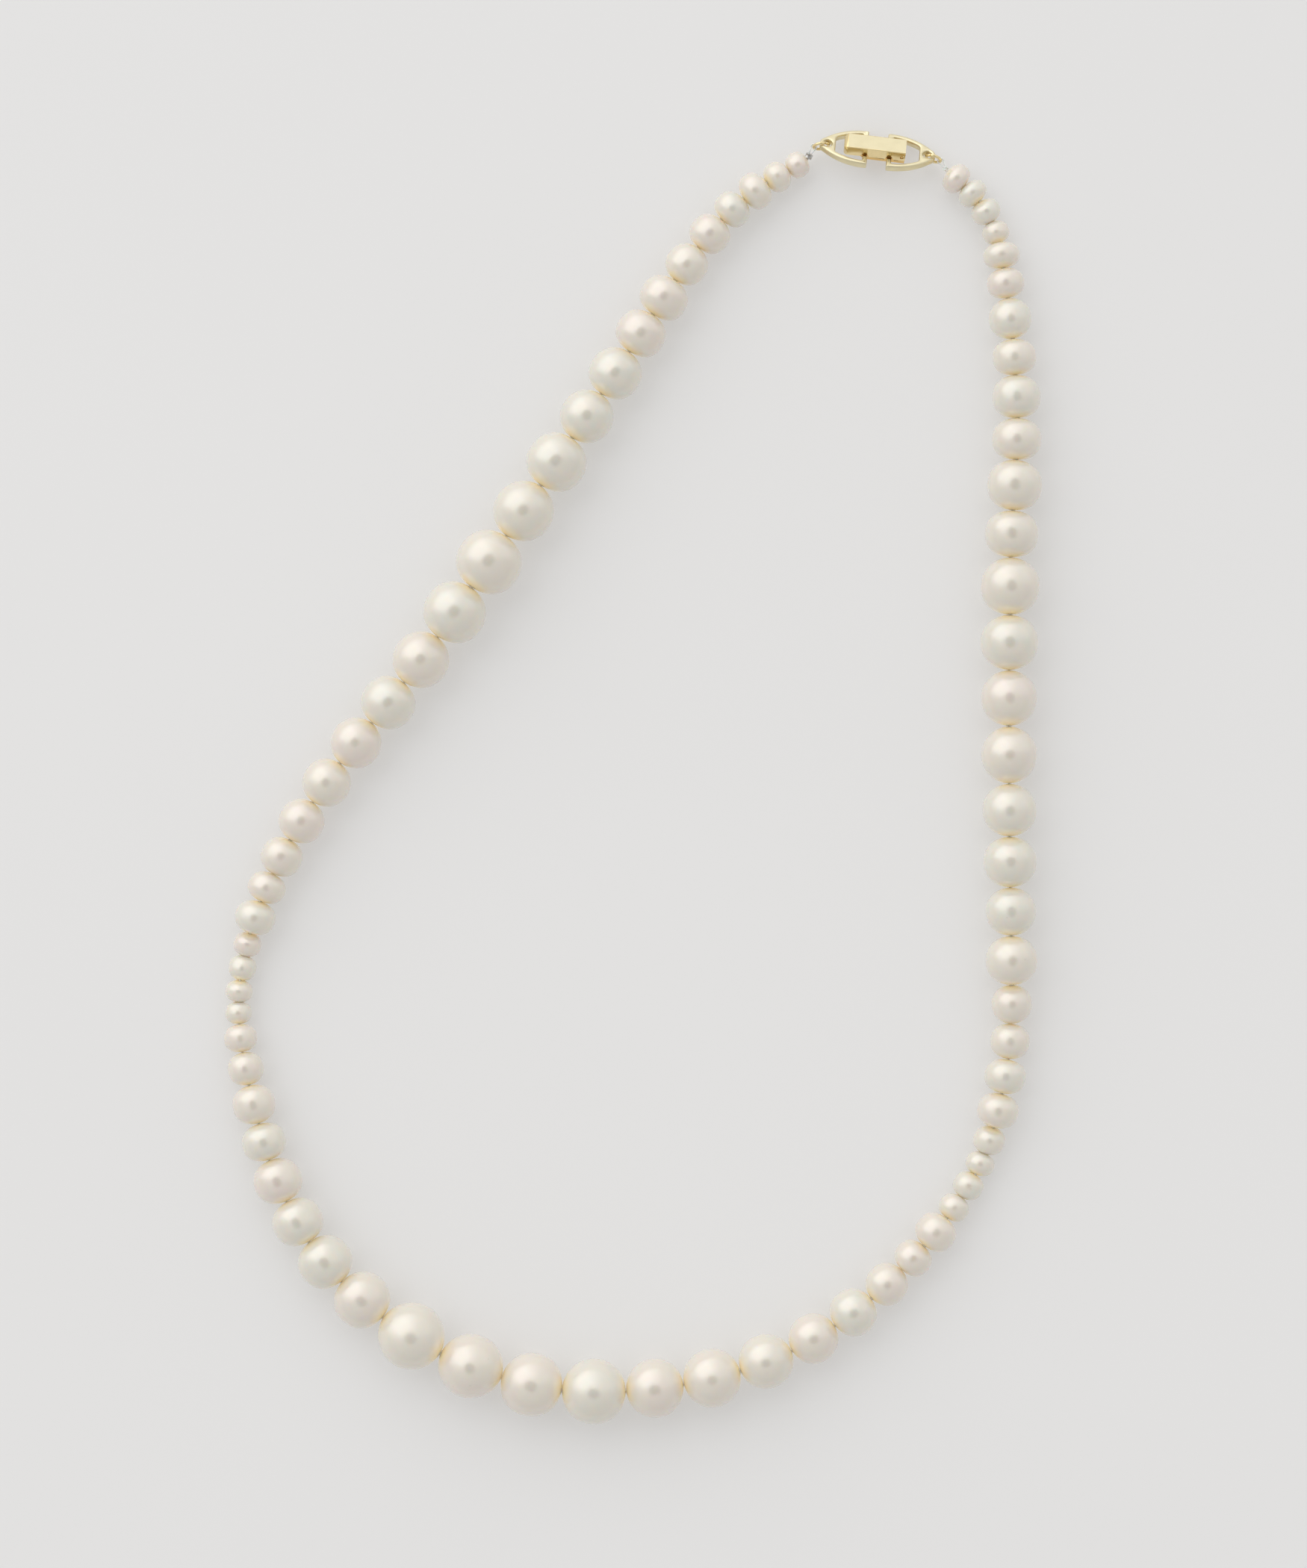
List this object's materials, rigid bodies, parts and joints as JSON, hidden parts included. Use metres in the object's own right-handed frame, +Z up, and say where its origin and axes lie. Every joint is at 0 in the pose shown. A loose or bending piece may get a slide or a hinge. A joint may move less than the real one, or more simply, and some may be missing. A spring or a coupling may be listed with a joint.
{
  "type": "pearl necklace",
  "caption": "Graduated cream pearl necklace on a silk thread, fastened by a gold fold-over clasp with two jump rings, laid flat in a closed loop.",
  "frame": {"origin": "middle of the necklace's footprint, on the surface it lies on", "axes": "+X across the loop, +Y from the largest pearls at the bottom to the clasp, +Z up off the table"},
  "size_m": [0.1094, 0.1732, 0.009],
  "materials": {
    "pearl": "cream nacre with a soft pink and green lustre",
    "gold": "pale yellow gold, satin with polished edges",
    "silver": "plain crimped bead",
    "silk": "white twisted silk thread"
  },
  "bodies": {
    "bottom": {"pearl_34": "pearl", "pearl_35": "pearl", "pearl_36": "pearl", "pearl_37": "pearl", "pearl_38": "pearl", "pearl_39": "pearl", "pearl_40": "pearl", "pearl_41": "pearl", "pearls_42_44": "pearl", "thread": "silk"},
    "part_01": {"pearl_32": "pearl", "pearl_33": "pearl", "pearls_45_47": "pearl"},
    "part_02": {"pearls_30_31": "pearl", "pearls_48_50": "pearl"},
    "part_03": {"pearls_27_29": "pearl", "pearls_51_53": "pearl"},
    "part_04": {"pearls_23_26": "pearl", "pearls_54_55": "pearl"},
    "part_05": {"pearl_56": "pearl", "pearl_57": "pearl", "pearls_20_22": "pearl"},
    "part_06": {"pearl_17": "pearl", "pearl_18": "pearl", "pearl_19": "pearl", "pearl_58": "pearl", "pearl_59": "pearl"},
    "part_07": {"pearl_15": "pearl", "pearl_16": "pearl", "pearl_60": "pearl"},
    "part_08": {"pearl_13": "pearl", "pearl_14": "pearl", "pearl_61": "pearl", "pearl_62": "pearl"},
    "part_09": {"pearl_11": "pearl", "pearl_12": "pearl", "pearl_63": "pearl", "pearl_64": "pearl"},
    "part_10": {"pearl_09": "pearl", "pearl_10": "pearl", "pearls_65_66": "pearl"},
    "part_11": {"pearls_07_08": "pearl", "pearls_67_68": "pearl"},
    "part_12": {"pearls_05_06": "pearl", "pearls_69_71": "pearl"},
    "part_13": {"left_crimp": "silver", "left_loop": "silk", "left_ring": "gold", "pearls_01_04": "pearl", "pearls_72_74": "pearl", "right_knot": "silk", "right_loop": "silk", "right_ring": "gold"},
    "clasp": {"catch_bar": "gold", "leaf_pin": "gold", "left_frame": "gold", "right_frame": "gold"},
    "leaf": {"clasp_leaf": "gold", "cover_pin": "gold"},
    "cover": {"clasp_cover": "gold"}
  },
  "joints": [
    {"name": "clasp_cover", "type": "hinge", "parent": "leaf", "child": "cover", "pos_m": [0.03608, 0.08357, 0.00278], "axis": [0.0925, 0.7933, -0.6018], "range_deg": [0, 77]},
    {"name": "clasp_leaf", "type": "hinge", "parent": "clasp", "child": "leaf", "pos_m": [0.03113, 0.08381, 0.00234], "axis": [0.0925, 0.7933, -0.6018], "range_deg": [0, 35]},
    {"name": "clasp_swing", "type": "hinge", "parent": "part_13", "child": "clasp", "pos_m": [0.02611, 0.0844, 0.00234], "axis": [0.9933, -0.1158, 0], "range_deg": [-10, 25]},
    {"name": "fold_01", "type": "hinge", "parent": "bottom", "child": "part_01", "pos_m": [-0.00142, -0.06692, 0.00316], "axis": [0.9997, 0.0199, -0.016], "range_deg": [-18, 18], "deforming": ["thread"]},
    {"name": "fold_02", "type": "hinge", "parent": "part_01", "child": "part_02", "pos_m": [-0.00112, -0.05673, 0.00268], "axis": [0.9998, 0.0052, -0.0174], "range_deg": [-18, 18], "deforming": ["thread"]},
    {"name": "fold_03", "type": "hinge", "parent": "part_02", "child": "part_03", "pos_m": [-0.00084, -0.04685, 0.00289], "axis": [1, -0.0055, -0.0036], "range_deg": [-18, 18], "deforming": ["thread"]},
    {"name": "fold_04", "type": "hinge", "parent": "part_03", "child": "part_04", "pos_m": [-0.001, -0.03325, 0.00236], "axis": [1, 0.0011, 0.0029], "range_deg": [-18, 18], "deforming": ["thread"]},
    {"name": "fold_05", "type": "hinge", "parent": "part_04", "child": "part_05", "pos_m": [-0.0003, -0.02128, 0.00311], "axis": [0.9999, -0.0031, 0.0114], "range_deg": [-18, 18], "deforming": ["thread"]},
    {"name": "fold_06", "type": "hinge", "parent": "part_05", "child": "part_06", "pos_m": [0.0023, -0.0084, 0.00353], "axis": [1, 0.0047, 0.0067], "range_deg": [-18, 18], "deforming": ["thread"]},
    {"name": "fold_07", "type": "hinge", "parent": "part_06", "child": "part_07", "pos_m": [0.00773, 0.00681, 0.00383], "axis": [1, -0.0053, 0.005], "range_deg": [-18, 18], "deforming": ["thread"]},
    {"name": "fold_08", "type": "hinge", "parent": "part_07", "child": "part_08", "pos_m": [0.01214, 0.01628, 0.00385], "axis": [0.9983, -0.0582, -0.0032], "range_deg": [-18, 18], "deforming": ["thread"]},
    {"name": "fold_09", "type": "hinge", "parent": "part_08", "child": "part_09", "pos_m": [0.01683, 0.03052, 0.004], "axis": [0.9991, -0.0416, -0.0073], "range_deg": [-18, 18], "deforming": ["thread"]},
    {"name": "fold_10", "type": "hinge", "parent": "part_09", "child": "part_10", "pos_m": [0.02161, 0.04358, 0.00382], "axis": [0.9988, -0.048, -0.0055], "range_deg": [-18, 18], "deforming": ["thread"]},
    {"name": "fold_11", "type": "hinge", "parent": "part_10", "child": "part_11", "pos_m": [0.02538, 0.05505, 0.00339], "axis": [0.9982, -0.0595, -0.0089], "range_deg": [-18, 18], "deforming": ["thread"]},
    {"name": "fold_12", "type": "hinge", "parent": "part_11", "child": "part_12", "pos_m": [0.02794, 0.06499, 0.00298], "axis": [0.9986, -0.0523, -0.0099], "range_deg": [-18, 18], "deforming": ["thread"]},
    {"name": "fold_13", "type": "hinge", "parent": "part_12", "child": "part_13", "pos_m": [0.02999, 0.07426, 0.00228], "axis": [0.9996, -0.0063, -0.0284], "range_deg": [-14, 14], "deforming": ["thread"]}
  ],
  "couplings": [
    {"joint": "clasp_leaf", "follows": "clasp_cover", "ratio": 0.45}
  ]
}
